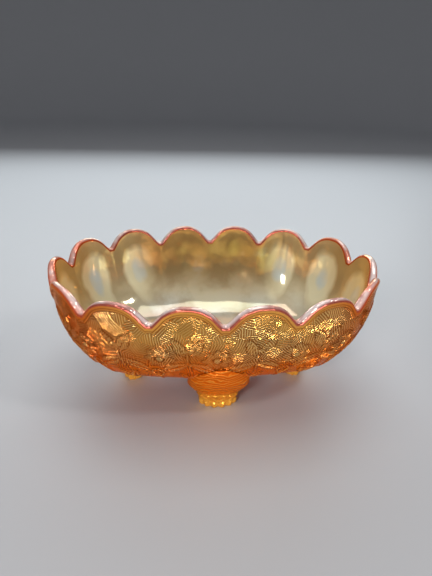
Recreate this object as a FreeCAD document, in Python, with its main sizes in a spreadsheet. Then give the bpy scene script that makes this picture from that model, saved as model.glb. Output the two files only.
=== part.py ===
import FreeCAD, Part
import math
import os

import Sketcher

# Oval pressed-glass bowl with a scalloped rim on four fluted feet.
# Frame: origin on the ground under the middle of the bowl, +X along the length,
# +Y across the width (the back), +Z up. All sizes are in millimetres.

doc = FreeCAD.newDocument("FootedOvalBowl")
sheet = doc.addObject("Spreadsheet::Sheet", "Dims")

DIMS = [
    # the oval plan
    ("rim_half_length", 145.5, "half length of the rim, outside"),
    ("rim_half_width", 95.7, "half width of the rim, outside"),
    ("base_half_length", 94.0, "half length of the flat underside"),
    ("base_half_width", 37.0, "half width of the flat underside"),
    ("end_roundness", 0.92, "end-arc radius as a share of the half width"),
    # heights
    ("base_height", 27.6, "underside of the bowl above the ground"),
    ("shoulder_height", 112.6, "height where the wall stands upright"),
    ("rim_height", 120.5, "top of the scallops"),
    ("trim_allowance", 4.0, "blank left above the scallops and cut away"),
    # glass thickness and cavity
    ("wall_thickness", 6.0, "wall at the rim"),
    ("floor_thickness", 7.0, "floor under the cavity"),
    ("floor_half_length", 88.0, "half length of the flat floor inside"),
    ("floor_half_width", 34.5, "half width of the flat floor inside"),
    # scallops: fourteen lobes of equal width round the rim
    ("lobe_width", 56.13, "length of one lobe along the rim"),
    ("scallop_depth", 15.8, "valley below the top of a lobe"),
    ("lobe_flat", 1.5, "half width of the level top of a lobe"),
    ("lobe_radius", 25.0, "rounding of a lobe's top"),
    ("valley_radius", 3.2, "rounding of a valley"),
    ("notch_reach", 56.0, "length of one notch cut, through the wall"),
    ("rim_round", 2.6, "rounding of the rim's edges"),
    # feet
    ("foot_front_reach", 47.5, "toe centre from the middle, front and back feet"),
    ("foot_end_reach", 77.0, "toe centre from the middle, left and right feet"),
    ("foot_roundness", 0.8, "end-arc radius of a foot section, share of its half depth"),
    ("flute_radius", 1.7, "radius of a toe flute"),
    ("flute_pitch", 4.5, "spacing of the toe flutes"),
    ("flute_height", 10.0, "height of the toe flutes"),
]

# Foot sections from the toe up: height, half width, half depth and how far the
# section's centre leans outward from the toe's centre.
FOOT_SECTIONS = [
    ("toe", 0.0, 15.0, 9.6, 0.0),
    ("ankle", 8.0, 16.5, 10.5, 0.5),
    ("shin", 13.0, 18.5, 11.9, 1.2),
    ("knee_low", 20.0, 23.8, 15.3, 3.2),
    ("knee", 27.0, 27.3, 17.5, 6.5),
    ("knee_high", 37.0, 26.5, 17.0, 12.3),
    ("crown", 51.0, 21.0, 13.5, 20.0),
    ("crown_tip", 65.0, 12.5, 8.0, 26.5),
]
for label, height, half_width, half_depth, lean in FOOT_SECTIONS:
    DIMS += [
        (label + "_height", height, "height of the foot's %s section" % label),
        (label + "_half_width", half_width, "half width of the foot's %s section" % label),
        (label + "_half_depth", half_depth, "half depth of the foot's %s section" % label),
        (label + "_lean", lean, "outward lean of the foot's %s section" % label),
    ]

for row, (alias, value, meaning) in enumerate(DIMS, start=1):
    sheet.set("A%d" % row, meaning)
    sheet.set("B%d" % row, str(value))
    sheet.setAlias("B%d" % row, alias)
doc.recompute()


def dim(alias):
    """Current value of a spreadsheet cell."""
    return float(sheet.get(alias))


def origin_plane(body, role):
    """The body's own origin plane with the given role."""
    return [f for f in body.Origin.OriginFeatures if f.Role == role][0]


def attach(sketch, body, role):
    sketch.AttachmentSupport = [(origin_plane(body, role), "")]
    sketch.MapMode = "FlatFace"


def bind(sketch, name, index, expression):
    """Name a dimensional constraint and drive it from the sheet."""
    sketch.renameConstraint(index, name)
    sketch.setExpression("Constraints." + name, expression)


def oval_sketch(body, name, size, text, height, shift="0"):
    """A closed four-arc oval at a height: two end arcs joined tangentially to two
    side arcs. size holds the numbers and text the expressions of half length,
    half width and roundness; shift moves the oval along Y."""
    half_length, half_width, roundness = size
    end = roundness * half_width
    reach = half_length - end
    side = (reach ** 2 + half_width ** 2 - end ** 2) / (2 * (half_width - end))
    joint = math.atan2(side - half_width, reach)

    sketch = body.newObject("Sketcher::SketchObject", name)
    attach(sketch, body, "XY_Plane")
    sketch.setExpression("AttachmentOffset.Base.z", height)
    sketch.setExpression("AttachmentOffset.Base.y", shift)

    def arc(x, y, radius, start, stop):
        circle = Part.Circle(FreeCAD.Vector(x, y, 0), FreeCAD.Vector(0, 0, 1), radius)
        return sketch.addGeometry(Part.ArcOfCircle(circle, start, stop), False)

    right = arc(reach, 0, end, -joint, joint)
    upper = arc(0, half_width - side, side, joint, math.pi - joint)
    left = arc(-reach, 0, end, math.pi - joint, math.pi + joint)
    lower = arc(0, side - half_width, side, math.pi + joint, 2 * math.pi - joint)
    for first, second in ((right, upper), (upper, left), (left, lower), (lower, right)):
        sketch.addConstraint(Sketcher.Constraint("Tangent", first, 2, second, 1))
    for end_arc in (right, left):
        sketch.addConstraint(Sketcher.Constraint("PointOnObject", end_arc, 3, -1))
    sketch.addConstraint(Sketcher.Constraint("Equal", right, left))
    sketch.addConstraint(Sketcher.Constraint("Equal", upper, lower))

    length_text, width_text, round_text = text
    end_text = "(%s) * (%s)" % (round_text, width_text)
    reach_text = "(%s) - %s" % (length_text, end_text)
    side_text = "((%s)^2 + (%s)^2 - (%s)^2) / (2 * ((%s) - %s))" % (
        reach_text, width_text, end_text, width_text, end_text)
    add = sketch.addConstraint
    bind(sketch, "reach_right",
         add(Sketcher.Constraint("DistanceX", -1, 1, right, 3, reach)), reach_text)
    bind(sketch, "reach_left",
         add(Sketcher.Constraint("DistanceX", left, 3, -1, 1, reach)), reach_text)
    bind(sketch, "end_radius", add(Sketcher.Constraint("Radius", right, end)), end_text)
    bind(sketch, "side_radius", add(Sketcher.Constraint("Radius", upper, side)), side_text)
    return sketch


# The wall's profile is a quarter ellipse in height: level at the base and upright
# at the shoulder. Its stations are given by the ellipse's angle in degrees.
STATIONS = (0, 15, 30, 45, 60, 75, 90)


def wall_loft(body, kind, prefix, base, rim, low, high, top):
    """A loft of ovals up the quarter-ellipse profile and straight on to the top.
    base and rim are (half length, half width) expressions with their numbers."""
    sketches = []
    for angle in STATIONS + (None,):
        rise = 1.0 if angle is None else math.sin(math.radians(angle))
        grow = "1" if angle is None else "sin(%d deg)" % angle
        size = [b[0] + (r[0] - b[0]) * rise for b, r in zip(base, rim)]
        text = ["(%s) + ((%s) - (%s)) * %s" % (b[1], r[1], b[1], grow)
                for b, r in zip(base, rim)]
        height = top if angle is None else (
            "%s + (%s - (%s)) * (1 - cos(%d deg))" % (low, high, low, angle))
        label = "%s_oval_%s" % (prefix, "top" if angle is None else angle)
        sketches.append(oval_sketch(
            body, label, (size[0], size[1], dim("end_roundness")),
            (text[0], text[1], "Dims.end_roundness"), height))
    loft = body.newObject(kind, prefix + "_loft")
    loft.Profile = sketches[0]
    loft.Sections = sketches[1:]
    loft.Ruled = False
    return loft


def outer_form(body, prefix):
    """The outside of the bowl as a solid blank, taller than the scallops."""
    return wall_loft(
        body, "PartDesign::AdditiveLoft", prefix,
        ((dim("base_half_length"), "Dims.base_half_length"),
         (dim("base_half_width"), "Dims.base_half_width")),
        ((dim("rim_half_length"), "Dims.rim_half_length"),
         (dim("rim_half_width"), "Dims.rim_half_width")),
        "Dims.base_height", "Dims.shoulder_height", "Dims.rim_height + Dims.trim_allowance")


def notch_sketch(body, name, x, y, turn):
    """One notch between two lobe tops, on an upright plane across the wall.
    x and y place the valley in plan and turn is the plane's heading."""
    sketch = body.newObject("Sketcher::SketchObject", name)
    attach(sketch, body, "XZ_Plane")
    sketch.setExpression("AttachmentOffset.Base.x", x)
    sketch.setExpression("AttachmentOffset.Base.z", "-(%s)" % y)
    sketch.AttachmentOffset = FreeCAD.Placement(
        sketch.AttachmentOffset.Base, FreeCAD.Rotation(FreeCAD.Vector(0, 1, 0), 30))
    sketch.setExpression("AttachmentOffset.Rotation.Angle", turn)

    top = dim("rim_height")
    bottom = top - dim("scallop_depth")
    small = dim("valley_radius")
    across = dim("lobe_width") / 2 - dim("lobe_flat")
    # a level top runs into the lobe arc, a straight slope and the valley arc
    big = dim("lobe_radius")
    both = big + small
    slope = (math.atan2(across, both - dim("scallop_depth"))
             - math.acos(both / math.hypot(across, both - dim("scallop_depth"))))
    over = across + 2.6 * dim("lobe_flat")
    lid = top + 3 * dim("trim_allowance")

    def arc(px, py, radius, start, stop):
        circle = Part.Circle(FreeCAD.Vector(px, py, 0), FreeCAD.Vector(0, 0, 1), radius)
        return sketch.addGeometry(Part.ArcOfCircle(circle, start, stop), False)

    def line(ax, ay, bx, by):
        return sketch.addGeometry(
            Part.LineSegment(FreeCAD.Vector(ax, ay, 0), FreeCAD.Vector(bx, by, 0)), False)

    upright = math.pi / 2
    lobe_end = (across - big * math.sin(slope), top - big * (1 - math.cos(slope)))
    valley_end = (small * math.sin(slope), bottom + small * (1 - math.cos(slope)))
    right = arc(across, top - big, big, upright, upright + slope)
    slope_r = line(lobe_end[0], lobe_end[1], valley_end[0], valley_end[1])
    valley = arc(0, bottom + small, small, 3 * upright - slope, 3 * upright + slope)
    slope_l = line(-lobe_end[0], lobe_end[1], -valley_end[0], valley_end[1])
    left = arc(-across, top - big, big, upright - slope, upright)
    flat_r = line(across, top, over, top)
    wall_r = line(over, top, over, lid)
    roof = line(over, lid, -over, lid)
    wall_l = line(-over, lid, -over, top)
    flat_l = line(-over, top, -across, top)
    return sketch, (right, slope_r, valley, slope_l, left, flat_r, wall_r, roof, wall_l, flat_l)


def constrain_notch(sketch, geometry):
    right, slope_r, valley, slope_l, left, flat_r, wall_r, roof, wall_l, flat_l = geometry
    con = Sketcher.Constraint

    def add(*terms):
        return sketch.addConstraint(con(*terms))

    for first, end, second, start in (
            (right, 2, slope_r, 1), (slope_r, 2, valley, 2), (left, 1, slope_l, 1),
            (slope_l, 2, valley, 1), (right, 1, flat_r, 1), (left, 2, flat_l, 2)):
        add("Tangent", first, end, second, start)
    for first, second in ((flat_r, wall_r), (wall_r, roof), (roof, wall_l), (wall_l, flat_l)):
        add("Coincident", first, 2, second, 1)
    for flat in (flat_r, flat_l, roof):
        add("Horizontal", flat)
    for wall in (wall_r, wall_l):
        add("Vertical", wall)
    add("PointOnObject", valley, 3, -2)
    add("Equal", right, left)

    top = dim("rim_height")
    across = dim("lobe_width") / 2 - dim("lobe_flat")
    across_text = "Dims.lobe_width / 2 - Dims.lobe_flat"
    lift = top - dim("scallop_depth") + dim("valley_radius")
    over = 2.6 * dim("lobe_flat")
    lid = 3 * dim("trim_allowance")
    bind(sketch, "lobe_radius", add("Radius", right, dim("lobe_radius")), "Dims.lobe_radius")
    bind(sketch, "valley_radius", add("Radius", valley, dim("valley_radius")),
         "Dims.valley_radius")
    bind(sketch, "valley_height", add("DistanceY", -1, 1, valley, 3, lift),
         "Dims.rim_height - Dims.scallop_depth + Dims.valley_radius")
    bind(sketch, "lobe_right", add("DistanceX", -1, 1, right, 3, across), across_text)
    bind(sketch, "lobe_left", add("DistanceX", left, 3, -1, 1, across), across_text)
    bind(sketch, "top_right", add("DistanceY", -1, 1, flat_r, 1, top), "Dims.rim_height")
    bind(sketch, "top_left", add("DistanceY", -1, 1, flat_l, 2, top), "Dims.rim_height")
    bind(sketch, "over_right", add("DistanceX", flat_r, 1, flat_r, 2, over),
         "2.6 * Dims.lobe_flat")
    bind(sketch, "over_left", add("DistanceX", flat_l, 1, flat_l, 2, over),
         "2.6 * Dims.lobe_flat")
    bind(sketch, "lid", add("DistanceY", wall_r, 1, wall_r, 2, lid), "3 * Dims.trim_allowance")


# ---------------------------------------------------------------- the bowl
bowl = doc.addObject("PartDesign::Body", "Bowl")
bowl.Label = "bowl"
outer_form(bowl, "outside")
doc.recompute()
wall_loft(
    bowl, "PartDesign::SubtractiveLoft", "cavity",
    ((dim("floor_half_length"), "Dims.floor_half_length"),
     (dim("floor_half_width"), "Dims.floor_half_width")),
    ((dim("rim_half_length") - dim("wall_thickness"),
      "Dims.rim_half_length - Dims.wall_thickness"),
     (dim("rim_half_width") - dim("wall_thickness"),
      "Dims.rim_half_width - Dims.wall_thickness")),
    "Dims.base_height + Dims.floor_thickness", "Dims.shoulder_height",
    "Dims.rim_height + 1.5 * Dims.trim_allowance")
doc.recompute()

# Valleys lie at odd half-lobes round the rim, from the end of the long axis to the
# short axis. The first two fall on the end arc, the next two on the side arc.
END = "Dims.end_roundness * Dims.rim_half_width"
REACH = "(Dims.rim_half_length - %s)" % END
SIDE = "((%s^2 + Dims.rim_half_width^2 - (%s)^2) / (2 * (Dims.rim_half_width - %s)))" % (
    REACH, END, END)
JOINT = "atan2(%s - Dims.rim_half_width; %s)" % (SIDE, REACH)

notches = []
for count, (name, lobes) in enumerate((("notch_end", 0.5), ("notch_corner", 1.5),
                                       ("notch_side", 2.5), ("notch_middle", 3.5))):
    if count < 2:
        heading = "(%s * Dims.lobe_width / (%s) * 180 / pi * 1 deg)" % (lobes, END)
        x = "%s + %s * cos(%s)" % (REACH, END, heading)
        y = "%s * sin(%s)" % (END, heading)
    elif count == 2:
        heading = "(%s + (%s * Dims.lobe_width - %s * (%s) / 180 deg * pi) / %s * 180 / pi * 1 deg)" % (
            JOINT, lobes, END, JOINT, SIDE)
        x = "%s * cos(%s)" % (SIDE, heading)
        y = "%s * sin(%s) - (%s - Dims.rim_half_width)" % (SIDE, heading, SIDE)
    else:
        heading, x, y = "(90 deg)", "0", "Dims.rim_half_width"
    sketch, geometry = notch_sketch(bowl, name + "_sketch", x, y, heading + " + 90 deg")
    constrain_notch(sketch, geometry)
    pocket = bowl.newObject("PartDesign::Pocket", name)
    pocket.Profile = sketch
    pocket.SideType = "Symmetric"
    pocket.setExpression("Length", "Dims.notch_reach")
    notches.append(pocket)
    doc.recompute()

mirror_ends = bowl.newObject("PartDesign::Mirrored", "notches_left")
mirror_ends.Originals = notches[:3]
mirror_ends.MirrorPlane = (origin_plane(bowl, "YZ_Plane"), [""])
bowl.Tip = mirror_ends
doc.recompute()
mirror_front = bowl.newObject("PartDesign::Mirrored", "notches_front")
mirror_front.Originals = notches
mirror_front.MirrorPlane = (origin_plane(bowl, "XZ_Plane"), [""])
bowl.Tip = mirror_front
doc.recompute()
turned = bowl.newObject("PartDesign::PolarPattern", "notches_across")
turned.Originals = notches[:3]
turned.Axis = ([f for f in bowl.Origin.OriginFeatures if f.Role == "Z_Axis"][0], [""])
turned.Angle = 360
turned.Occurrences = 2
bowl.Tip = turned
doc.recompute()


def rim_edges(shape):
    """Names of the edges where the notches' cut faces meet the walls."""
    low = dim("rim_height") - dim("scallop_depth") - 1.0
    names = []
    for index, edge in enumerate(shape.Edges, start=1):
        faces = shape.ancestorsOfType(edge, Part.Face)
        kinds = ["cut" if isinstance(f.Surface, (Part.Plane, Part.Cylinder)) else "wall"
                 for f in faces]
        if edge.BoundBox.ZMin > low and sorted(kinds) == ["cut", "wall"]:
            names.append("Edge%d" % index)
    return names


rounding = bowl.newObject("PartDesign::Fillet", "rim_rounding")
rounding.Base = (turned, rim_edges(turned.Shape))
rounding.setExpression("Radius", "Dims.rim_round")
bowl.Tip = rounding
doc.recompute()

# ---------------------------------------------------------------- the feet
# The outside of the bowl as a solid, to cut each foot where it meets the glass.
outer = doc.addObject("PartDesign::Body", "OuterForm")
outer.Label = "outer_form"
outer_form(outer, "form")
doc.recompute()


def flute_sketch(body, name):
    """Circles along the front of the toe; each cuts one upright flute."""
    half_width, half_depth = dim("toe_half_width"), dim("toe_half_depth")
    end = dim("foot_roundness") * half_depth
    side = ((half_width - end) ** 2 + half_depth ** 2 - end ** 2) / (2 * (half_depth - end))
    end_text = "Dims.foot_roundness * Dims.toe_half_depth"
    side_text = ("(((Dims.toe_half_width - %s)^2 + Dims.toe_half_depth^2 - (%s)^2)"
                 " / (2 * (Dims.toe_half_depth - %s)))" % (end_text, end_text, end_text))
    sketch = body.newObject("Sketcher::SketchObject", name)
    attach(sketch, body, "XY_Plane")
    for count in range(6):
        step = count - 2.5
        x = step * dim("flute_pitch")
        y = math.sqrt(side ** 2 - x ** 2) - (side - half_depth)
        circle = Part.Circle(FreeCAD.Vector(x, -y, 0), FreeCAD.Vector(0, 0, 1),
                             dim("flute_radius"))
        flute = sketch.addGeometry(circle, False)
        add = sketch.addConstraint
        if step < 0:
            across = Sketcher.Constraint("DistanceX", flute, 3, -1, 1, -x)
        else:
            across = Sketcher.Constraint("DistanceX", -1, 1, flute, 3, x)
        bind(sketch, "across_%d" % count, add(across),
             "%s * Dims.flute_pitch" % abs(step))
        bind(sketch, "outward_%d" % count,
             add(Sketcher.Constraint("DistanceY", flute, 3, -1, 1, y)),
             "sqrt(%s^2 - (%s * Dims.flute_pitch)^2) - (%s - Dims.toe_half_depth)"
             % (side_text, abs(step), side_text))
        bind(sketch, "radius_%d" % count,
             add(Sketcher.Constraint("Radius", flute, dim("flute_radius"))),
             "Dims.flute_radius")
    return sketch


def foot(label, heading, reach):
    """A foot that leans outward along its own -Y, turned to its heading and moved
    out by its reach, then cut where the bowl's outer form begins."""
    body = doc.addObject("PartDesign::Body", label + "_blank")
    sketches = []
    for name, *_ in FOOT_SECTIONS:
        size = (dim(name + "_half_width"), dim(name + "_half_depth"), dim("foot_roundness"))
        text = ("Dims.%s_half_width" % name, "Dims.%s_half_depth" % name,
                "Dims.foot_roundness")
        sketches.append(oval_sketch(body, "%s_%s" % (label, name), size, text,
                                    "Dims.%s_height" % name, "-Dims.%s_lean" % name))
    loft = body.newObject("PartDesign::AdditiveLoft", label + "_loft")
    loft.Profile = sketches[0]
    loft.Sections = sketches[1:]
    doc.recompute()
    before = loft.Shape.Volume

    flutes = body.newObject("PartDesign::Pocket", label + "_flutes")
    flutes.Profile = flute_sketch(body, label + "_flute_sketch")
    flutes.Reversed = True
    flutes.setExpression("Length", "Dims.flute_height")
    doc.recompute()
    if not flutes.Shape.Volume < before:
        raise RuntimeError(label + ": the flutes cut nothing")

    body.Placement = FreeCAD.Placement(
        FreeCAD.Vector(0, 0, 0), FreeCAD.Rotation(FreeCAD.Vector(0, 0, 1), heading))
    body.setExpression("Placement.Base.x", "%s * sin(%d deg)" % (reach, heading))
    body.setExpression("Placement.Base.y", "-%s * cos(%d deg)" % (reach, heading))

    cut = doc.addObject("Part::Cut", label)
    cut.Base = body
    cut.Tool = outer
    cut.Label = label
    doc.recompute()
    return cut


pieces = [
    bowl,
    foot("foot_front", 0, "Dims.foot_front_reach"),
    foot("foot_right", 90, "Dims.foot_end_reach"),
    foot("foot_back", 180, "Dims.foot_front_reach"),
    foot("foot_left", 270, "Dims.foot_end_reach"),
]
doc.recompute()

# ---------------------------------------------------------------- checks and files
failed = ["%s (%s)" % (o.Name, " ".join(o.State)) for o in doc.Objects
          if "Invalid" in o.State or "Error" in o.State]
if failed:
    raise RuntimeError("failed objects: " + ", ".join(failed))
for piece in pieces:
    shape = piece.Shape
    if shape.isNull() or not shape.isValid():
        raise RuntimeError(piece.Label + ": null or invalid shape")
    if len(shape.Solids) != 1:
        raise RuntimeError("%s: %d solids" % (piece.Label, len(shape.Solids)))

os.makedirs("parts", exist_ok=True)
for piece in pieces:
    piece.Shape.exportStep(os.path.join("parts", piece.Label + ".step"))
    box = piece.Shape.BoundBox
    print("%-11s volume %9.0f mm3  x %7.2f %7.2f  y %7.2f %7.2f  z %6.2f %6.2f" % (
        piece.Label, piece.Shape.Volume, box.XMin, box.XMax, box.YMin, box.YMax,
        box.ZMin, box.ZMax))
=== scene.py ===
import math

import bpy
import numpy as np
from mathutils import Matrix, Vector


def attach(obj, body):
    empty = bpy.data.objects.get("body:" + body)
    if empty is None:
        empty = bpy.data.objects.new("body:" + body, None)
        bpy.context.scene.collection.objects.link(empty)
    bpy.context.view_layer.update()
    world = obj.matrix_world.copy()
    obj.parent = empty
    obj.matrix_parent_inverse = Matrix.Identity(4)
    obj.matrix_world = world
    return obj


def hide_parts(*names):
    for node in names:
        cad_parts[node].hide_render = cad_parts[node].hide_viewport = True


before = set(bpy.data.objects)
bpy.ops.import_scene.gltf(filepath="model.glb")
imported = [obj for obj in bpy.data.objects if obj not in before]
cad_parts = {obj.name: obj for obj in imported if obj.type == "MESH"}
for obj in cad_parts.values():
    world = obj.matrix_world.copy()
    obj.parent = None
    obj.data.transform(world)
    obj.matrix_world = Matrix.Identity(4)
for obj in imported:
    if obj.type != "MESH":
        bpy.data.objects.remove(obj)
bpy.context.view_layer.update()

MM = 0.001
TAU = 2 * math.pi

# ------------------------------------------------------------------ sizes, mm
RIM = (145.5, 95.7)            # outer half length and half width at the rim
BASE = (94.0, 37.0)            # outer half sizes of the flat underside
ROUNDNESS = 0.92               # end-arc radius as a share of the half width
BASE_Z, SHOULDER_Z, RIM_Z = 27.6, 112.6, 120.5
INNER_RIM = (139.5, 89.7)
FLOOR = (88.0, 34.5)
FLOOR_Z = 34.6
LOBES = 14
SCALLOP_DEPTH = 15.8
LOBE_R = 25.0
VALLEY_R = 3.2
LOBE_FLAT = 1.5


def oval_arcs(a, b):
    """End radius, end centre, side radius and joint angle of a four-arc oval."""
    end = ROUNDNESS * b
    reach = a - end
    side = (reach ** 2 + b ** 2 - end ** 2) / (2 * (b - end))
    return end, reach, side, np.arctan2(side - b, reach)


END_R, _, SIDE_R, JOINT = (float(v) for v in oval_arcs(*RIM))
END_RUN = END_R * JOINT
QUARTER = END_RUN + SIDE_R * (math.pi / 2 - JOINT)
PERIMETER = 4 * QUARTER
LOBE = PERIMETER / LOBES


def oval_point(s, a, b):
    """Plan position and outward direction at rim arc length s on the oval a, b."""
    s = np.mod(s, PERIMETER)
    k = np.floor(s / QUARTER).astype(int) % 4
    local = s - k * QUARTER
    local = np.where(k % 2 == 1, QUARTER - local, local)
    sx = np.where((k == 0) | (k == 3), 1.0, -1.0)
    sy = np.where(k < 2, 1.0, -1.0)
    end, reach, side, joint = oval_arcs(a, b)
    on_end = local <= END_RUN
    turn = np.where(on_end, joint * local / END_RUN,
                    joint + (math.pi / 2 - joint) * (local - END_RUN) / (QUARTER - END_RUN))
    x = np.where(on_end, reach + end * np.cos(turn), side * np.cos(turn))
    y = np.where(on_end, end * np.sin(turn), side * np.sin(turn) - (side - b))
    return sx * x, sy * y, sx * np.cos(turn), sy * np.sin(turn)


def rim_line(s):
    """Height and slope of the scalloped top at rim arc length s, and the distance from
    the nearest valley. Each scallop is a valley arc, a straight slope, a lobe arc and a
    level top."""
    d = np.abs(np.mod(s, LOBE) - LOBE / 2)
    across = LOBE / 2 - LOBE_FLAT
    both = LOBE_R + VALLEY_R
    lean = (math.atan2(across, both - SCALLOP_DEPTH)
            - math.acos(both / math.hypot(across, both - SCALLOP_DEPTH)))
    valley_z = RIM_Z - SCALLOP_DEPTH
    foot = VALLEY_R * math.sin(lean)
    crown = across - LOBE_R * math.sin(lean)
    inner = np.clip(d, 0, foot)
    outer = np.clip(across - d, 0, across - crown)
    low = valley_z + VALLEY_R - np.sqrt(VALLEY_R ** 2 - inner ** 2)
    high = RIM_Z - LOBE_R + np.sqrt(LOBE_R ** 2 - outer ** 2)
    z = np.where(d < foot, low, np.where(d > crown, high, low + (d - foot) * math.tan(lean)))
    slope = np.where(d < foot, inner / np.sqrt(VALLEY_R ** 2 - inner ** 2),
                     outer / np.sqrt(LOBE_R ** 2 - outer ** 2))
    return z, slope, d


def smooth(x):
    """An eased step from 0 to 1."""
    x = np.clip(x, 0, 1)
    return x * x * (3 - 2 * x)


def wall(q, base, rim, low, high):
    """Half sizes and height at profile station q: 0 at the base, 1 at the shoulder."""
    angle = np.clip(q, 0, 1) * math.pi / 2
    grow = np.sin(angle)
    a = base[0] + (rim[0] - base[0]) * grow
    b = base[1] + (rim[1] - base[1]) * grow
    z = low + (high - low) * (1 - np.cos(angle)) + np.clip(q - 1, 0, None) * (high - low) * 1.4
    return a, b, z


def station(z, low, high):
    """Profile station at height z."""
    part = np.clip(1 - (z - low) / (high - low), 0, 1)
    return np.where(z <= high, np.arccos(part) / (math.pi / 2),
                    1 + (z - high) / ((high - low) * 1.4))


def mesh_object(name, verts, faces, material, body="root"):
    """A smooth-shaded mesh from points in millimetres, riding a body of the frame."""
    mesh = bpy.data.meshes.new(name)
    mesh.from_pydata([tuple(v) for v in verts * MM], [], faces)
    mesh.validate()
    mesh.update()
    for polygon in mesh.polygons:
        polygon.use_smooth = True
    obj = bpy.data.objects.new(name, mesh)
    bpy.context.scene.collection.objects.link(obj)
    mesh.materials.append(material)
    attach(obj, body)
    return obj


def grid_faces(rows, cols):
    """Quads of a grid whose columns close on themselves, with a fan at each end."""
    faces = []
    for i in range(rows - 1):
        a, b = i * cols, (i + 1) * cols
        faces += [(a + j, a + (j + 1) % cols, b + (j + 1) % cols, b + j) for j in range(cols)]
    first, last = rows * cols, rows * cols + 1
    end = (rows - 1) * cols
    faces += [((j + 1) % cols, j, first) for j in range(cols)]
    faces += [(end + j, end + (j + 1) % cols, last) for j in range(cols)]
    return faces


# ------------------------------------------------------------------ relief
def ridge(d, width):
    """A rounded ridge at distance d from its line."""
    return np.exp(-(d / width) ** 2)


def leaf(u, v, cu, cv, angle, length, width):
    """A pressed leaf: a raised blade with a sunk midrib and slanting veins."""
    ca, sa = math.cos(angle), math.sin(angle)
    along = (u - cu) * ca + (v - cv) * sa
    across = -(u - cu) * sa + (v - cv) * ca
    t = np.clip(along / length, 0, 1)
    edge = width * np.sin(math.pi * t ** 0.8) ** 0.85 - np.abs(across)
    inside = smooth(edge / 1.0 + 0.5) * ((along > 0) & (along < length))
    veins = 0.5 + 0.5 * np.cos(TAU * (along + 0.9 * np.abs(across)) / 2.9)
    rib = ridge(across, 0.7)
    return inside * (0.45 + 0.45 * veins - 0.5 * rib)


def flower(u, v, cu, cv, radius, petals):
    """A round flower with lined petals about a beaded centre."""
    x, y = u - cu, v - cv
    rho = np.hypot(x, y)
    phi = np.arctan2(x, y)
    reach = radius * (0.62 + 0.38 * np.abs(np.cos(petals * phi / 2)) ** 0.7)
    inside = smooth((reach - rho) / 1.0 + 0.5)
    lines = 0.5 + 0.5 * np.cos(petals * 3 * phi)
    between = 1 - 0.6 * ridge(np.cos(petals * phi / 2) * rho, 0.8)
    eye = smooth((radius * 0.24 - rho) / 0.8 + 0.5)
    ring = ridge(rho - radius * 0.3, 0.8)
    return np.maximum(inside * (0.4 + 0.35 * lines) * between * (1 - 0.8 * ring), 0.95 * eye)


def stem(u, v, points, width):
    """A raised line through a few points."""
    best = np.full(u.shape, 1e9)
    for (ax, ay), (bx, by) in zip(points, points[1:]):
        dx, dy = bx - ax, by - ay
        t = np.clip(((u - ax) * dx + (v - ay) * dy) / (dx * dx + dy * dy), 0, 1)
        best = np.minimum(best, np.hypot(u - ax - t * dx, v - ay - t * dy))
    return ridge(best, width)


def drop_motif(u, v, cv):
    """A double-outlined drop that stands on the lower wall."""
    t = np.clip((v - cv + 9) / 18, 0, 1)
    half = 5.2 * np.sin(math.pi * t ** 1.6) ** 0.9
    d = np.abs(np.abs(u) - half)
    inside = (v > cv - 9) & (v < cv + 9)
    return inside * np.maximum(0.9 * ridge(d, 0.9), 0.7 * ridge(np.hypot(u, (v - cv + 2) / 1.6), 2.0))


ARCH_GAP = 6.0                 # from the rim down to the line that follows the scallops
PATTERN_GAP, PATTERN_FADE = 8, 3
DROP_V = 46
FLOWER_U, FLOWER_V, FLOWER_R, PETALS = -5.0, 70, 12.5, 8
# pairs of leaves: the line they stand beside, their distance from it, their height up
# the wall, their lean from upright, their length and their half width
LEAVES = (("valley", 6, 52, 0.95, 25, 5.0), ("lobe", 1.5, 76, 0.55, 21, 4.6),
          ("lobe", 1.0, 30, 0.35, 20, 3.4))
LOBE_STEM = ((0, 22), (1.5, 50), (-1, 76))
VALLEY_STEM = ((0, 18), (0, 36))


def relief(s, v, metric, rim_gap):
    """Height of the pressed pattern, 0 to about 1. s runs round the rim, v up the
    wall from its foot and rim_gap down from the rim, all in millimetres."""
    index = np.floor(s / LOBE).astype(int)
    u = (np.mod(s, LOBE) - LOBE / 2) * metric
    lobe_u = (np.mod(s + LOBE / 2, LOBE) - LOBE / 2) * metric
    parity = np.where(index % 2 == 0, 1.0, -1.0)
    lines = {"valley": u, "lobe": lobe_u}
    body = drop_motif(u, v, DROP_V)
    body = np.maximum(body, flower(u, v, FLOWER_U * parity, FLOWER_V, FLOWER_R, PETALS))
    for line, offset, foot_v, lean, length, width in LEAVES:
        for side in (1, -1):
            body = np.maximum(body, leaf(lines[line], v, side * offset, foot_v,
                                         math.pi / 2 - side * lean, length, width))
    body = np.maximum(body, 0.8 * stem(lobe_u, v, LOBE_STEM, 0.8))
    body = np.maximum(body, 0.7 * stem(u, v, VALLEY_STEM, 0.8))
    arch = 0.6 * ridge(rim_gap - ARCH_GAP, 0.8)
    h = np.maximum(arch, body * smooth((rim_gap - PATTERN_GAP) / PATTERN_FADE))
    return h * smooth((v - 10) / 10)


# ------------------------------------------------------------------ the bowl
COLUMNS_PER_LOBE = 56
VALLEY_BEND = 0.42                          # how much the columns gather in the valleys
OUTER_ROWS, BEAD_ROWS, INNER_ROWS = 88, 9, 20
HALF_WALL = 3.0                             # half the wall's thickness, the rim's radius
UNDER_SHARES = (0.2, 0.6, 0.9)              # rings of the underside
FLOOR_SHARES = (0.94, 0.8, 0.6, 0.35, 0.1)  # rings of the floor inside
RELIEF, LIP = 1.1, 0.3                      # height of the pattern and of the lip


def columns():
    """Rim arc lengths of the grid's columns, closer together in the valleys."""
    t = (np.arange(COLUMNS_PER_LOBE) + 0.5) / COLUMNS_PER_LOBE * 2 - 1
    d = (t - VALLEY_BEND * np.sin(math.pi * t) / math.pi) * LOBE / 2
    one = d + LOBE / 2
    return np.concatenate([one + i * LOBE for i in range(LOBES)])


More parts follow.
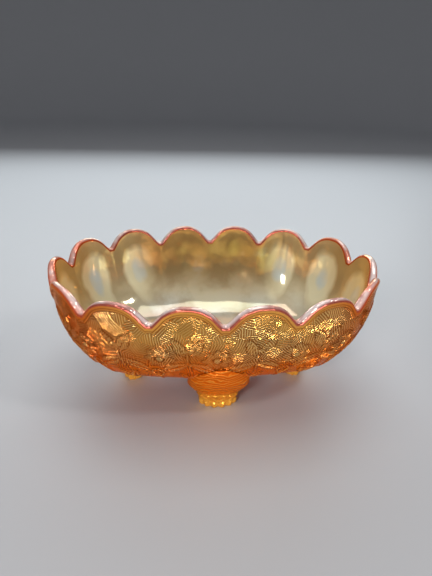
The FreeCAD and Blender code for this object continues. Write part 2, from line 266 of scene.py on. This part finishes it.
def bowl_mesh(material):
    """The bowl as one closed grid: underside, outer wall, rounded rim, inner wall, floor."""
    s = columns()
    top, slope, from_v = rim_line(s)
    cap = HALF_WALL * np.sqrt(1 + slope ** 2)
    edge_z = top - cap
    part = from_v / (LOBE / 2)
    arch = ((1 - np.cos(math.pi * part)) / 2) ** 0.7

    def swell(z, depth, start=42):
        """How far the wall draws in at the valleys, more toward the rim."""
        return -depth * (1 - arch) * smooth((z - start) / 50)

    rows = []
    # underside, from its middle outward
    for share in UNDER_SHARES:
        x, y, _, _ = oval_point(s, BASE[0] * share, BASE[1] * share)
        rows.append(np.stack([x, y, np.full_like(x, BASE_Z)], 1))
    # outer wall
    q_top = station(edge_z, BASE_Z, SHOULDER_Z)
    q = np.linspace(0, 1, OUTER_ROWS)[:, None] * q_top[None, :]
    a, b, z = wall(q, BASE, RIM, BASE_Z, SHOULDER_Z)
    x, y, nx, ny = oval_point(np.broadcast_to(s, q.shape), a, b)
    rim_gap = (top[None, :] - z) / np.sqrt(1 + (slope[None, :] * smooth((z - 60) / 50)) ** 2)
    # the wall is sunk by the pattern's height, so that the crests reach the plain outer form
    sunk = RELIEF * smooth((rim_gap - 3.5) / 3.5) * smooth((z - 34) / 16)
    out = swell(z, 0.8) - LIP - sunk
    grid = np.stack([x + nx * out, y + ny * out, z], 2)
    du = np.roll(grid, -1, 1) - np.roll(grid, 1, 1)
    dv = np.gradient(grid, axis=0)
    normal = np.cross(du, dv)
    normal /= np.maximum(np.linalg.norm(normal, axis=2, keepdims=True), 1e-9)
    step = np.linalg.norm(dv, axis=2)
    v = np.cumsum(step, axis=0) - step / 2
    ds = np.mod(np.roll(s, -1) - np.roll(s, 1), PERIMETER)
    metric = np.linalg.norm(du, axis=2) / np.maximum(ds[None, :], 1e-9)
    metric = np.clip(metric, 0.4, 1.05)
    pressed = relief(np.broadcast_to(s, q.shape), v, metric, rim_gap)
    lip = LIP * ridge(rim_gap - 3.2, 2.2)
    from_rim = 1 - np.linspace(0, 1, OUTER_ROWS)[:, None]
    grid += normal * (RELIEF * pressed * smooth(from_rim * 30) + lip)[..., None]
    rows += list(grid)
    # inner wall and floor
    qi_top = station(edge_z, FLOOR_Z, SHOULDER_Z)
    qi = np.linspace(0, 1, INNER_ROWS)[::-1, None] ** 0.9 * qi_top[None, :]
    ai, bi, zi = wall(qi, FLOOR, INNER_RIM, FLOOR_Z, SHOULDER_Z)
    xi, yi, nxi, nyi = oval_point(np.broadcast_to(s, qi.shape), ai, bi)
    out = swell(zi, 2.8, 33)
    inner = np.stack([xi + nxi * out, yi + nyi * out, zi], 2)
    # rounded rim between the two walls
    middle = (grid[-1] + inner[0]) / 2
    half = (grid[-1] - inner[0]) / 2
    turns = math.pi * np.arange(1, BEAD_ROWS + 1) / (BEAD_ROWS + 1)
    for angle in turns:
        rows.append(middle + half * math.cos(angle)
                    + np.stack([0 * cap, 0 * cap, cap * math.sin(angle)], 1))
    rows += list(inner)
    for share in FLOOR_SHARES:
        x, y, _, _ = oval_point(s, FLOOR[0] * share, FLOOR[1] * share)
        rows.append(np.stack([x, y, np.full_like(x, FLOOR_Z)], 1))

    verts = np.concatenate(rows + [np.array([[0, 0, BASE_Z]]), np.array([[0, 0, FLOOR_Z]])])
    obj = mesh_object("glass_bowl", verts, grid_faces(len(rows), len(s)), material)
    # per-point values for the material: the pattern's height, the field of fine lines, the
    # level up the wall, inside or out, the rim's rounded top, and oval patches of painted reflection
    count = len(s)
    start = len(UNDER_SHARES) * count
    bead = start + pressed.size
    inside = bead + BEAD_ROWS * count
    height = np.zeros(len(verts))
    height[start:bead] = pressed.ravel()
    field = np.zeros(len(verts))
    field[start:bead] = (smooth((rim_gap - 5) / 4) * smooth((v - 9) / 14)).ravel()
    level = np.zeros(len(verts))
    gap = np.clip(1 - rim_gap / 9.0, 0, 1)
    level[start:bead] = (0.82 * smooth((z - 30) / 75) + 0.18 * gap ** 2).ravel()
    level[bead:inside] = 1.0
    gap_in = np.clip(1 - (top[None, :] - zi) / 9.0, 0, 1)
    level[inside:inside + zi.size] = (0.82 * smooth((zi - 30) / 75) + 0.18 * gap_in ** 2).ravel()
    within = np.zeros(len(verts))
    within[inside:] = 1.0
    within[len(rows) * count] = 0.0
    # oval patches on the inner wall, one to each scallop, that place the painted reflections
    oval = np.zeros(len(verts))
    across = (np.mod(s + LOBE / 2, LOBE) - LOBE / 2)[None, :]
    distance = np.hypot(across / 20.0, (zi - 76.0) / 30.0)
    oval[inside:inside + zi.size] = np.clip(1.3 - distance, 0, 1).ravel()
    bead_top = np.zeros(len(verts))
    bead_top[bead:inside] = np.repeat(np.sin(turns), count)
    for key, values in (("pressed", height), ("field", field), ("level", level),
                        ("within", within), ("bead", bead_top), ("oval", oval)):
        layer = obj.data.attributes.new(key, "FLOAT", "POINT")
        layer.data.foreach_set("value", values.astype(np.float32))
    return obj


# ------------------------------------------------------------------ the feet
FOOT_Z = np.array([0.0, 8.0, 13.0, 20.0, 27.0, 37.0, 51.0, 65.0])
FOOT_W = np.array([15.0, 16.5, 18.5, 23.8, 27.3, 26.5, 21.0, 12.5])
FOOT_D = np.array([9.6, 10.5, 11.9, 15.3, 17.5, 17.0, 13.5, 8.0])
FOOT_LEAN = np.array([0.0, 0.5, 1.2, 3.2, 6.5, 12.3, 20.0, 26.5])
FOOT_COLUMNS, FOOT_ROWS, FLUTES = 168, 78, 14
TOE_Z, TOE_INSET = [0, 0.25, 0.8, 1.6], [1.5, 0.75, 0.25, 0.05]    # rounded edge of the toe
FOOT_JOINT = 0.4               # from the bowl's plain outer form, unsunk, up to the foot's top


def under_wall(x, y):
    """Height of the bowl's plain outer form, unsunk, over plan points x, y."""
    x, y = np.abs(x), np.abs(y)
    low, high = np.zeros_like(x), np.ones_like(x)
    for _ in range(26):
        q = (low + high) / 2
        a, b, _ = wall(q, BASE, RIM, BASE_Z, SHOULDER_Z)
        end, reach, side, joint = oval_arcs(a, b)
        on_end = np.arctan2(y, x - reach) <= joint
        inside = np.where(on_end, np.hypot(x - reach, y) <= end,
                          np.hypot(x, y + side - b) <= side)
        low, high = np.where(inside, low, q), np.where(inside, q, high)
    return wall(high, BASE, RIM, BASE_Z, SHOULDER_Z)[2]


def foot_mesh(name, heading, reach, material):
    """A foot that faces heading degrees from the front, its toe centred at reach: a fan of
    lines over its toe, a fluted fringe, and a top that follows the bowl's plain outer form."""
    phi = np.arange(FOOT_COLUMNS) / FOOT_COLUMNS * TAU - math.pi / 2
    levels = np.concatenate([TOE_Z, np.linspace(2.6, 62, FOOT_ROWS)])
    inset = np.concatenate([TOE_INSET, np.zeros(FOOT_ROWS)])
    rows = []
    for z, cut in zip(levels, inset):
        width = np.interp(z, FOOT_Z, FOOT_W)
        depth = np.interp(z, FOOT_Z, FOOT_D)
        lean = np.interp(z, FOOT_Z, FOOT_LEAN)
        cx, cy = np.cos(phi), np.sin(phi)
        front = smooth((-cy + 0.15) / 0.4)
        shell = smooth((26 - z) / 8)
        flute = np.cos(phi * FLUTES)
        across = np.abs(np.mod(phi - math.pi / 2, TAU) - math.pi) * width
        edge = 19.5 - 0.05 * across ** 1.5
        fan = 1.4 * front * smooth((edge - z) / 1.2)
        leaves = np.maximum(ridge(across - 1.0 * (z - 7), 0.9), ridge(across - 0.9 * (z - 13), 0.8))
        leaves = np.maximum(leaves, ridge(across - 1.1 * z, 0.8)) * smooth((z - 6.5) / 1.5)
        lines = 1.3 * front * shell * leaves * smooth((edge - z) / 1.2)
        fringe = smooth((7 - z) / 2) * front * (0.5 + 0.9 * flute)
        grow = fan + lines + fringe - cut
        rows.append(np.stack([(width + grow) * cx, (depth + grow) * cy - lean,
                              np.full(FOOT_COLUMNS, z)], 1))
    verts = np.concatenate(rows + [rows[0].mean(0)[None], rows[-1].mean(0)[None]])
    turn = math.radians(heading)
    c, n = math.cos(turn), math.sin(turn)
    x = verts[:, 0] * c - (verts[:, 1] - reach) * n
    y = verts[:, 0] * n + (verts[:, 1] - reach) * c
    z = np.minimum(verts[:, 2], under_wall(x, y) + FOOT_JOINT)
    verts = np.stack([x, y, z], 1)
    return mesh_object(name, verts, grid_faces(len(rows), FOOT_COLUMNS), material)


# ------------------------------------------------------------------ materials
class Shader:
    """Short calls for building one node material."""

    def __init__(self, name):
        self.material = bpy.data.materials.new(name)
        self.material.use_nodes = True
        self.tree = self.material.node_tree
        self.bsdf = self.tree.nodes["Principled BSDF"]
        self.place = self.node("TexCoord").outputs["Object"]

    def node(self, kind, **values):
        made = self.tree.nodes.new("ShaderNode" + kind)
        for key, value in values.items():
            setattr(made, key, value)
        return made

    def link(self, source, target):
        self.tree.links.new(source, target)

    def attribute(self, name):
        return self.node("Attribute", attribute_name=name).outputs["Fac"]

    def axis(self, name):
        """The X, Y or Z of the object's own coordinates, in metres."""
        split = self.node("SeparateXYZ")
        self.link(self.place, split.inputs[0])
        return split.outputs[name]

    def noise(self, scale, detail):
        made = self.node("TexNoise")
        made.inputs["Scale"].default_value = scale
        made.inputs["Detail"].default_value = detail
        self.link(self.place, made.inputs["Vector"])
        return made.outputs[0]

    def drift(self, scale, detail, low, high):
        """A value that drifts between low and high over the surface."""
        return self.remap(self.noise(scale, detail), 0.3, 0.7, low, high)

    def ramp(self, source, stops):
        made = self.node("ValToRGB")
        elements = made.color_ramp.elements
        while len(elements) < len(stops):
            elements.new(0.5)
        for element, (at, colour) in zip(elements, stops):
            element.position = at
            element.color = tuple(colour) + (1,)
        self.link(source, made.inputs[0])
        return made.outputs[0]

    def remap(self, source, low, high, new_low, new_high):
        made = self.node("MapRange")
        for key, value in (("From Min", low), ("From Max", high), ("To Min", new_low),
                           ("To Max", new_high)):
            made.inputs[key].default_value = value
        self.link(source, made.inputs["Value"])
        return made.outputs[0]

    def mix(self, share, first, second, blend="MIX"):
        made = self.node("Mix", data_type="RGBA", blend_type=blend)
        for socket, value in ((made.inputs[0], share), (made.inputs[6], first),
                              (made.inputs[7], second)):
            if isinstance(value, bpy.types.NodeSocket):
                self.link(value, socket)
            elif isinstance(value, tuple):
                socket.default_value = value + (1,)
            else:
                socket.default_value = value
        return made.outputs[2]

    def math(self, kind, first, second=0.0):
        made = self.node("Math", operation=kind)
        for socket, value in zip(made.inputs, (first, second)):
            if isinstance(value, bpy.types.NodeSocket):
                self.link(value, socket)
            else:
                socket.default_value = value
        return made.outputs[0]

    def bump(self, height, strength, distance, under=None):
        made = self.node("Bump")
        made.inputs["Strength"].default_value = strength
        made.inputs["Distance"].default_value = distance
        self.link(height, made.inputs["Height"])
        if under is not None:
            self.link(under, made.inputs["Normal"])
        return made.outputs[0]

    def vector(self, kind, first, second=None):
        made = self.node("VectorMath", operation=kind)
        self.link(first, made.inputs[0])
        if isinstance(second, bpy.types.NodeSocket):
            self.link(second, made.inputs[1])
        elif second is not None:
            made.inputs[1].default_value = second
        return made.outputs["Value" if kind == "DOT_PRODUCT" else "Vector"]

    def hatch(self, patch, spacing):
        """Fine lines, 0 to 1, along the wall, that change direction patch by patch."""
        cells = self.node("TexVoronoi")
        cells.inputs["Scale"].default_value = 1 / patch
        self.link(self.place, cells.inputs["Vector"])
        centre = cells.outputs["Position"]
        flatten = (1 / (RIM[0] * MM) ** 2, 1 / (RIM[1] * MM) ** 2, 0)
        radial = self.vector("MULTIPLY", centre, flatten)
        turn = self.vector("SUBTRACT", cells.outputs["Color"], (0.5, 0.5, 0.5))
        heading = self.vector("NORMALIZE", self.vector("CROSS_PRODUCT", radial, turn))
        along = self.vector("DOT_PRODUCT", heading,
                            self.vector("SUBTRACT", self.place, centre))
        wander = self.drift(90, 2, -1.8, 1.8)
        turns = self.math("ADD", self.math("MULTIPLY", along, TAU / spacing), wander)
        return self.remap(self.math("SINE", turns), -1, 1, 0, 1)

    def finish(self, colour, normal, film, **values):
        self.link(colour, self.bsdf.inputs["Base Color"])
        self.link(normal, self.bsdf.inputs["Normal"])
        self.link(film, self.bsdf.inputs["Thin Film Thickness"])
        for key, value in values.items():
            self.bsdf.inputs[key.replace("_", " ")].default_value = value
        return self.material

    def absorb(self, colour, density):
        made = self.node("VolumeAbsorption")
        made.inputs["Color"].default_value = colour + (1,)
        made.inputs["Density"].default_value = density
        self.link(made.outputs[0], self.tree.nodes["Material Output"].inputs["Volume"])


GLASS_IOR, FILM_IOR = 1.45, 1.6
HATCH_PATCH, HATCH_SPACING = 0.010, 0.0019
GROWTH_SPACING = 0.0032
RIM_RED = (0.62, 0.12, 0.05)


def marigold_bowl():
    """Amber glass under a metal film whose colour changes up the wall and along the bowl."""
    g = Shader("marigold_glass")
    level = g.math("ADD", g.attribute("level"), g.drift(14, 3, -0.08, 0.08))
    reach = g.math("ABSOLUTE", g.axis("X"))
    # outside: deep orange low down, gold above, red-orange at the ends
    outside = g.ramp(level, ((0.0, (1.0, 0.13, 0.001)), (0.28, (1.0, 0.15, 0.002)),
                             (0.44, (0.94, 0.25, 0.02)), (0.6, (0.86, 0.36, 0.06)),
                             (0.78, (0.95, 0.50, 0.10)), (0.92, (0.92, 0.42, 0.08)),
                             (1.0, RIM_RED)))
    outside = g.mix(g.remap(reach, 0.06, 0.115, 0, 0.9), outside, (0.74, 0.09, 0.004))
    pressed, field = g.attribute("pressed"), g.attribute("field")
    lines = g.hatch(HATCH_PATCH, HATCH_SPACING)
    groove = g.math("MULTIPLY", g.remap(lines, 0.0, 0.45, 0.85, 0.0), field)
    crest = g.math("MULTIPLY", g.remap(lines, 0.55, 1.0, 0.0, 0.95), field)
    patchy = g.remap(g.noise(28, 2), 0.40, 0.58, 0.4, 1.0)
    # painted shade: the grooves of the fine lines are darkened to a deep red-brown
    outside = g.mix(g.math("MULTIPLY", groove, patchy), outside, (0.22, 0.045, 0.004))
    # painted glints: the crests of the fine lines are lightened to orange low down and pale gold
    # higher up, redder toward the ends
    painted_glint = g.mix(g.remap(level, 0.3, 0.6, 0, 1), (1.0, 0.30, 0.01), (1.0, 0.80, 0.36))
    painted_glint = g.mix(g.remap(reach, 0.08, 0.12, 0, 0.85), painted_glint, (1.0, 0.28, 0.03))
    outside = g.mix(g.math("MULTIPLY", crest, patchy), outside, painted_glint)
    # painted shade in a dark ring round the edges of the pressed pattern, and a painted highlight in
    # pale gold on its raised tops
    painted_relief_shade = g.ramp(pressed, ((0.0, (0, 0, 0)), (0.16, (0.9, 0.9, 0.9)), (0.42, (0, 0, 0))))
    outside = g.mix(painted_relief_shade, outside, (0.25, 0.05, 0.005))
    outside = g.mix(g.remap(pressed, 0.5, 1.0, 0, 0.75), outside, (1.0, 0.66, 0.22))
    # inside: olive gold over a pale floor, with pale yellow and bluish patches at the corners that are
    # painted reflections
    inner = g.ramp(level, ((0.0, (0.73, 0.77, 0.70)), (0.2, (0.84, 0.74, 0.50)),
                           (0.5, (0.76, 0.58, 0.29)), (0.85, (0.68, 0.47, 0.17)),
                           (0.95, (0.72, 0.44, 0.18)), (1.0, RIM_RED)))
    streak = g.math("ADD", g.noise(36, 4), g.drift(11, 2, -0.15, 0.15))
    inner = g.mix(g.remap(streak, 0.40, 0.60, 0.5, 0), inner, (0.40, 0.26, 0.10))
    inner = g.mix(g.remap(streak, 0.6, 0.75, 0, 0.6), inner, (0.86, 0.78, 0.56))
    corner = g.remap(reach, 0.055, 0.085, 0, 1)
    shape = g.math("ADD", g.attribute("oval"), g.drift(30, 2, -0.18, 0.18))
    # painted reflection: pale yellow ovals toward the ends of the inner wall
    painted_reflection = g.math("MULTIPLY", corner, g.remap(shape, 0.25, 0.55, 0.25, 1.0))
    inner = g.mix(painted_reflection, inner, (1.0, 0.92, 0.62))
    # painted reflection: bluish centres of the same ovals
    painted_cool_reflection = g.math("MULTIPLY", corner, g.remap(shape, 0.85, 1.1, 0, 0.85))
    inner = g.mix(painted_cool_reflection, inner, (0.70, 0.84, 0.90))
    inner = g.mix(g.remap(reach, 0.118, 0.14, 0, 0.6), inner, (1.0, 0.62, 0.18))
    colour = g.mix(g.attribute("within"), outside, inner)
    # the rounded rim: red-brown edges, orange-red at the ends, and a pale top that is a painted
    # highlight
    bead = g.attribute("bead")
    edge = g.mix(g.remap(reach, 0.09, 0.125, 0, 1), (0.46, 0.10, 0.07), (0.88, 0.14, 0.03))
    colour = g.mix(g.remap(bead, 0.0, 0.3, 0, 1), colour, edge)
    # painted highlight: the top of the rim is painted pale pink, broken into dashes by noise
    pale = g.math("MULTIPLY", g.remap(bead, 0.5, 0.95, 0, 0.95),
                  g.remap(g.noise(55, 2), 0.4, 0.55, 0.35, 1.0))
    colour = g.mix(pale, colour, (1.0, 0.87, 0.82))
    film = g.drift(9, 1, 300, 460)
    relief_lines = g.math("MULTIPLY", lines, field)
    fine = g.bump(relief_lines, 0.9, 0.0009)
    fine = g.bump(g.math("MULTIPLY", g.noise(210, 2), bead), 0.6, 0.0016, fine)
    normal = g.bump(g.noise(60, 2), 0.12, 0.002, g.bump(g.noise(17, 1), 0.55, 0.004, fine))
    # the metal film is thick high on the outside, and thin low down, inside and on the rim
    low_wall = g.remap(level, 0.2, 0.5, 0.75, 0)
    calm = g.math("MAXIMUM", g.math("MAXIMUM", g.attribute("within"), bead), low_wall)
    g.link(g.remap(calm, 0, 1, 0.58, 0.22), g.bsdf.inputs["Metallic"])
    clear = g.math("SUBTRACT", g.remap(level, 0, 0.6, 0.12, 0.48), g.remap(bead, 0, 1, 0, 0.35))
    # under the painted reflection patches the glass is made less clear
    painted_reflection_opacity = g.math("MULTIPLY", g.math("MULTIPLY", painted_reflection, g.attribute("within")), 0.56)
    g.link(g.math("SUBTRACT", clear, painted_reflection_opacity), g.bsdf.inputs["Transmission Weight"])
    g.absorb((0.98, 0.46, 0.08), 120)
    return g.finish(colour, normal, film, Thin_Film_IOR=FILM_IOR, IOR=GLASS_IOR, Roughness=0.1,
                    Specular_Tint=(1.0, 0.55, 0.2, 1))


def growth_lines(g, height):
    """Level growth lines on a foot, wandering and broken, 0 to 1."""
    turns = g.math("MULTIPLY", height, TAU / GROWTH_SPACING)
    return g.remap(g.math("SINE", g.math("ADD", turns, g.drift(70, 3, -4.0, 4.0))), -1, 1, 0, 1)


def marigold_foot():
    """The same glass on a foot: orange with growth lines above, golden at the toe."""
    g = Shader("marigold_foot_glass")
    height = g.math("ADD", g.axis("Z"), g.drift(60, 2, -0.002, 0.002))
    colour = g.ramp(g.remap(height, 0, 0.05, 0, 1),
                    ((0.0, (1.0, 0.50, 0.08)), (0.16, (1.0, 0.46, 0.06)), (0.3, (0.90, 0.34, 0.04)),
                     (0.4, (1.0, 0.40, 0.04)), (0.5, (0.95, 0.20, 0.005)), (1.0, (0.92, 0.16, 0.004))))
    film = g.drift(30, 1, 280, 420)
    streak = growth_lines(g, height)
    streak = g.mix(g.remap(height, 0.017, 0.021, 0, 1), (0.5, 0.5, 0.5), streak)
    colour = g.mix(g.remap(streak, 0.0, 0.4, 0.45, 0), colour, (0.5, 0.08, 0.004))
    colour = g.mix(g.remap(streak, 0.65, 1.0, 0, 0.5), colour, (1.0, 0.50, 0.08))
    normal = g.bump(g.noise(500, 2), 0.4, 0.0006, g.bump(streak, 0.6, 0.0006))
    g.absorb((0.98, 0.45, 0.10), 90)
    return g.finish(colour, normal, film, Thin_Film_IOR=FILM_IOR, IOR=GLASS_IOR, Metallic=0.4,
                    Transmission_Weight=0.22, Roughness=0.22,
                    Specular_Tint=(1.0, 0.5, 0.15, 1))


bowl_glass = marigold_bowl()
foot_glass = marigold_foot()
bowl = bowl_mesh(bowl_glass)
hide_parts("bowl")
for name, heading, reach in (("foot_front", 0, 47.5), ("foot_right", 90, 77.0),
                             ("foot_back", 180, 47.5), ("foot_left", 270, 77.0)):
    foot = foot_mesh("glass_" + name, heading, reach, foot_glass)
    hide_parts(name)


# ------------------------------------------------------------------ stage
def backdrop():
    """A round pale floor that sweeps up far from the bowl on every side."""
    flat, sweep, wall_top, spokes, arcs = 2.6, 1.4, 5.0, 96, 20
    profile = [(flat, 0.0)]
    for k in range(1, arcs + 1):
        angle = math.pi / 2 * k / arcs
        profile.append((flat + sweep * math.sin(angle), sweep * (1 - math.cos(angle))))
    profile.append((flat + sweep, wall_top))
    verts = [(r * math.cos(TAU * k / spokes), r * math.sin(TAU * k / spokes), z)
             for r, z in profile for k in range(spokes)]
    faces = [tuple(range(spokes))]
    for i in range(len(profile) - 1):
        for k in range(spokes):
            a, b = i * spokes + k, i * spokes + (k + 1) % spokes
            faces.append((a, a + spokes, b + spokes, b))
    mesh = bpy.data.meshes.new("floor")
    mesh.from_pydata(verts, [], faces)
    for polygon in mesh.polygons:
        polygon.use_smooth = True
    obj = bpy.data.objects.new("floor", mesh)
    bpy.context.scene.collection.objects.link(obj)
    paint = bpy.data.materials.new("pale_floor")
    paint.use_nodes = True
    sockets = paint.node_tree.nodes["Principled BSDF"].inputs
    sockets["Base Color"].default_value = (0.5, 0.5, 0.51, 1)
    sockets["Roughness"].default_value = 0.5
    mesh.materials.append(paint)


backdrop()
world = bpy.data.worlds.new("studio")
world.use_nodes = True
world.node_tree.nodes["Background"].inputs["Color"].default_value = (0.85, 0.9, 1.0, 1)
world.node_tree.nodes["Background"].inputs["Strength"].default_value = 0.22
bpy.context.scene.world = world


def soft_light(name, place, target, size, power, colour=(1, 1, 1)):
    """A soft rectangular lamp that the camera doesn't see."""
    light = bpy.data.lights.new(name, "AREA")
    light.shape = "RECTANGLE"
    light.size, light.size_y = size
    light.energy = power
    light.color = colour
    obj = bpy.data.objects.new(name, light)
    obj.location = place
    obj.rotation_euler = (Vector(target) - Vector(place)).to_track_quat("-Z", "Y").to_euler()
    obj.visible_camera = False
    bpy.context.scene.collection.objects.link(obj)


BOWL_MIDDLE = (0, 0, 0.06)
soft_light("back_strip", (0.0, 1.2, 0.62), BOWL_MIDDLE, (1.9, 0.30), 13, (0.88, 0.96, 1.0))
soft_light("overhead", (0.0, 0.1, 1.5), (0, 0, 0), (0.9, 0.9), 7.5)
soft_light("front_low", (0.1, -1.2, 0.11), BOWL_MIDDLE, (1.3, 0.16), 9.5)
soft_light("window_left", (-0.45, -0.9, 0.62), BOWL_MIDDLE, (0.22, 0.18), 4)
soft_light("window_right", (0.70, -0.40, 0.98), BOWL_MIDDLE, (0.10, 0.16), 2.5)
bpy.context.scene.view_settings.view_transform = "Standard"

# ------------------------------------------------------------------ camera
CAMERA_DISTANCE, ELEVATION, ROLL, YAW = 0.39766, 0.451888, 0.026477, 0.088201
FOCAL_PIXELS, PHOTO_PIXELS, SENSOR = 430, 576, 36      # the photo's focal length and height
AIM = Vector((0.00046, 0.0, 0.0905))
forward = Vector((0, math.cos(ELEVATION), -math.sin(ELEVATION)))
eye = AIM - forward * CAMERA_DISTANCE
look = forward.to_track_quat("-Z", "Y").to_matrix().to_4x4()
camera = bpy.data.objects.new("camera", bpy.data.cameras.new("camera"))
camera.data.sensor_width = SENSOR
camera.data.sensor_fit = "VERTICAL"
camera.data.sensor_height = SENSOR
camera.data.lens = FOCAL_PIXELS / PHOTO_PIXELS * SENSOR
camera.data.clip_start = 0.01
camera.matrix_world = (Matrix.Rotation(-YAW, 4, "Z") @ Matrix.Translation(eye) @ look
                       @ Matrix.Rotation(ROLL, 4, "Z"))
bpy.context.scene.collection.objects.link(camera)
bpy.context.scene.camera = camera
